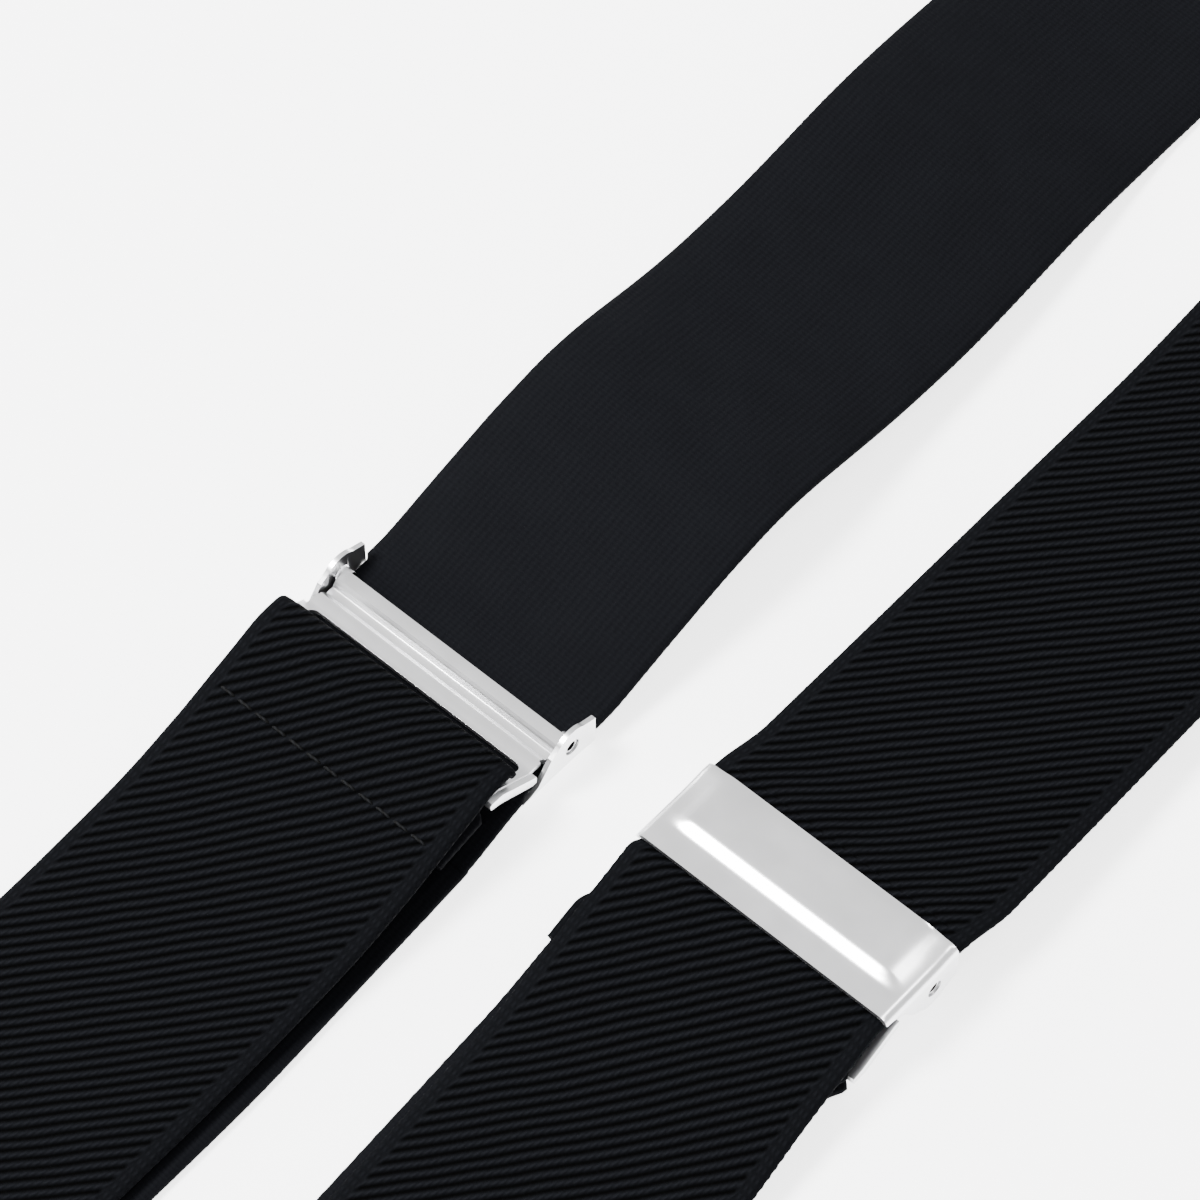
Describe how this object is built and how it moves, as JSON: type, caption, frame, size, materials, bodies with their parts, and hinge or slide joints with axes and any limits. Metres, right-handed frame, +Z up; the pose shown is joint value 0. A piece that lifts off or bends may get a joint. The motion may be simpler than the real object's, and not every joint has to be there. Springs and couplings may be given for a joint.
{
  "type": "suspenders",
  "caption": "Adjustable X-back suspenders in wide black elastic webbing, with lever-lock adjuster slides, a leather back patch and lever trouser clips.",
  "frame": {"origin": "middle of the back patch's underside, on the surface the suspenders lie on", "axes": "+Y from the front clips towards the back clips, +Z up, +X towards the strap that lies face up at the front"},
  "size_m": [0.2304, 1.0535, 0.0361],
  "materials": {
    "webbing": "diagonal-rib elastic weave, matte",
    "nickel": "bright nickel plate on pressed steel",
    "leather": "satin, stitched",
    "nylon": "moulded, satin"
  },
  "bodies": {
    "straps": {"right_shoulder_strap": "webbing", "left_shoulder_strap": "webbing", "patch_underside": "leather", "patch_top": "leather", "right_sliding_run": "webbing", "left_sliding_run": "webbing"},
    "right_slide": {"right_clamp_frame": "nickel", "right_return_hem": "webbing", "right_clamped_run": "webbing", "right_approach_run": "webbing", "right_front_run": "webbing", "right_return_run": "webbing"},
    "right_slide_lever": {"right_slide_cover": "nickel"},
    "right_loop": {"right_clip_loop": "webbing"},
    "left_slide": {"left_slide_cover": "nickel", "left_clamped_run": "webbing", "left_front_run": "webbing", "left_return_run": "webbing"},
    "left_slide_clamp": {"left_clamp_frame": "nickel", "left_return_hem": "webbing", "left_lifting_run": "webbing"},
    "left_loop": {"left_clip_loop": "webbing"},
    "right_front_clip": {"right_front_clip_base": "nickel", "right_front_clip_pad": "nylon", "right_front_clip_pin": "nickel"},
    "right_front_clip_lever": {"right_front_clip_lever": "nickel", "right_front_clip_cam": "nylon"},
    "left_front_clip": {"left_front_clip_base": "nickel", "left_front_clip_pad": "nylon", "left_front_clip_pin": "nickel"},
    "left_front_clip_lever": {"left_front_clip_lever": "nickel", "left_front_clip_cam": "nylon"},
    "right_back_clip": {"right_back_clip_base": "nickel", "right_back_clip_pad": "nylon", "right_back_clip_pin": "nickel"},
    "right_back_clip_lever": {"right_back_clip_lever": "nickel", "right_back_clip_cam": "nylon"},
    "left_back_clip": {"left_back_clip_base": "nickel", "left_back_clip_pad": "nylon", "left_back_clip_pin": "nickel"},
    "left_back_clip_lever": {"left_back_clip_lever": "nickel", "left_back_clip_cam": "nylon"}
  },
  "joints": [
    {"name": "right_slide_adjust", "type": "slide", "parent": "straps", "child": "right_slide", "axis": [-0.024, 0.9997, 0], "range_m": [-0.1, 0.08], "deforming": ["right_sliding_run"]},
    {"name": "right_clip_takeup", "type": "slide", "parent": "right_slide", "child": "right_loop", "axis": [0, 1, 0], "range_m": [-0.04, 0.05], "deforming": ["right_front_run", "right_return_run"]},
    {"name": "left_slide_adjust", "type": "slide", "parent": "straps", "child": "left_slide", "axis": [-0.024, 0.9997, 0], "range_m": [-0.1, 0.08], "deforming": ["left_sliding_run"]},
    {"name": "left_clip_takeup", "type": "slide", "parent": "left_slide", "child": "left_loop", "axis": [0, 1, 0], "range_m": [-0.04, 0.05], "deforming": ["left_front_run", "left_return_run"]},
    {"name": "right_slide_lever_hinge", "type": "hinge", "parent": "right_slide", "child": "right_slide_lever", "pos_m": [0.02904, -0.5665, 0.0054], "axis": [-1, 0, 0], "range_deg": [0, 40], "deforming": ["right_clamped_run", "right_approach_run"]},
    {"name": "left_slide_clamp_hinge", "type": "hinge", "parent": "left_slide", "child": "left_slide_clamp", "pos_m": [-0.0217, -0.5693, 0.0045], "axis": [-1, 0, 0], "range_deg": [0, 40], "deforming": ["left_lifting_run"]},
    {"name": "right_front_clip_swing", "type": "hinge", "parent": "right_loop", "child": "right_front_clip", "pos_m": [0.03331, -0.7165, 0.003], "axis": [-1, 0, 0], "range_deg": [0, 80]},
    {"name": "right_front_clip_lever_hinge", "type": "hinge", "parent": "right_front_clip", "child": "right_front_clip_lever", "pos_m": [0.03331, -0.75524, 0.00658], "axis": [1, 0, 0], "range_deg": [0, 100]},
    {"name": "left_front_clip_swing", "type": "hinge", "parent": "left_loop", "child": "left_front_clip", "pos_m": [-0.01742, -0.7193, 0.00875], "axis": [-1, 0, 0], "range_deg": [0, 80]},
    {"name": "left_front_clip_lever_hinge", "type": "hinge", "parent": "left_front_clip", "child": "left_front_clip_lever", "pos_m": [-0.01742, -0.7578, 0.00315], "axis": [-1, 0, 0], "range_deg": [0, 100]},
    {"name": "right_back_clip_swing", "type": "hinge", "parent": "straps", "child": "right_back_clip", "pos_m": [-0.08722, 0.23962, 0.003], "axis": [0.9397, 0.342, 0], "range_deg": [0, 80]},
    {"name": "right_back_clip_lever_hinge", "type": "hinge", "parent": "right_back_clip", "child": "right_back_clip_lever", "pos_m": [-0.10046, 0.27603, 0.00658], "axis": [-0.9397, -0.342, 0], "range_deg": [0, 100]},
    {"name": "left_back_clip_swing", "type": "hinge", "parent": "straps", "child": "left_back_clip", "pos_m": [0.08722, 0.23962, 0.003], "axis": [0.9397, -0.342, 0], "range_deg": [0, 80]},
    {"name": "left_back_clip_lever_hinge", "type": "hinge", "parent": "left_back_clip", "child": "left_back_clip_lever", "pos_m": [0.10046, 0.27603, 0.00658], "axis": [-0.9397, 0.342, 0], "range_deg": [0, 100]}
  ],
  "couplings": [
    {"joint": "right_clip_takeup", "follows": "right_slide_adjust", "ratio": -0.5},
    {"joint": "left_clip_takeup", "follows": "left_slide_adjust", "ratio": -0.5}
  ]
}
